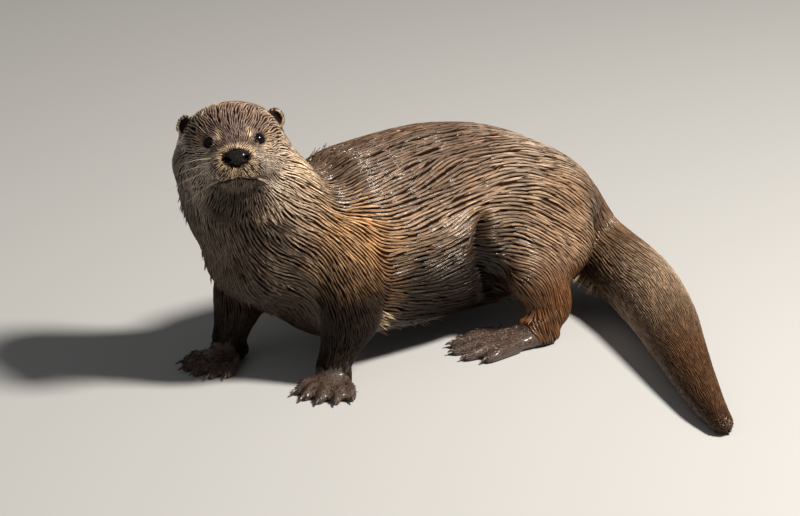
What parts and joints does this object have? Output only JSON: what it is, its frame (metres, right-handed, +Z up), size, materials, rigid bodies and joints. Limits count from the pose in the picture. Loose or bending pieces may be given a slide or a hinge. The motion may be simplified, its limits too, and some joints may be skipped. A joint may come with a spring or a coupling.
{
  "type": "river otter",
  "caption": "Life-size still model of a Eurasian river otter standing on all fours, its head raised and turned to its left and its tail laid on the floor.",
  "frame": {"origin": "on the floor, under the middle of the animal's bounding box", "axes": "+X from the breast to the rump, +Y to the otter's right, +Z up; the body faces -X"},
  "size_m": [0.4854, 0.494, 0.2545],
  "materials": {
    "fur": "wet guard hair over dense underfur, brown above and greyer below",
    "bare_skin": "moist, finely creased skin",
    "nose_leather": "moist pebbled skin",
    "eye": "wet gloss",
    "claw_horn": "smooth translucent horn"
  },
  "bodies": {
    "root": {"chest": "fur", "claw_fore_l_1": "claw_horn", "claw_fore_l_2": "claw_horn", "claw_fore_l_3": "claw_horn", "claw_fore_l_4": "claw_horn", "claw_fore_l_5": "claw_horn", "claw_fore_r_1": "claw_horn", "claw_fore_r_2": "claw_horn", "claw_fore_r_3": "claw_horn", "claw_fore_r_4": "claw_horn", "claw_fore_r_5": "claw_horn", "claw_hind_l_1": "claw_horn", "claw_hind_l_2": "claw_horn", "claw_hind_l_3": "claw_horn", "claw_hind_l_4": "claw_horn", "claw_hind_l_5": "claw_horn", "claw_hind_r_1": "claw_horn", "claw_hind_r_2": "claw_horn", "claw_hind_r_3": "claw_horn", "claw_hind_r_4": "claw_horn", "claw_hind_r_5": "claw_horn", "ear_l": "fur", "ear_r": "fur", "eye_l": "eye", "eye_r": "eye", "forearm_l": "fur", "forearm_r": "fur", "forepaw_l": "bare_skin", "forepaw_r": "bare_skin", "head": "fur", "hindfoot_l": "bare_skin", "hindfoot_r": "bare_skin", "neck": "fur", "nose": "nose_leather", "ribs": "fur", "rump": "fur", "shank_l": "fur", "shank_r": "fur", "tail_1": "fur", "tail_2": "fur", "tail_3": "fur", "tail_4": "fur", "thigh_l": "fur", "thigh_r": "fur", "upper_arm_l": "fur", "upper_arm_r": "fur"}
  },
  "joints": []
}
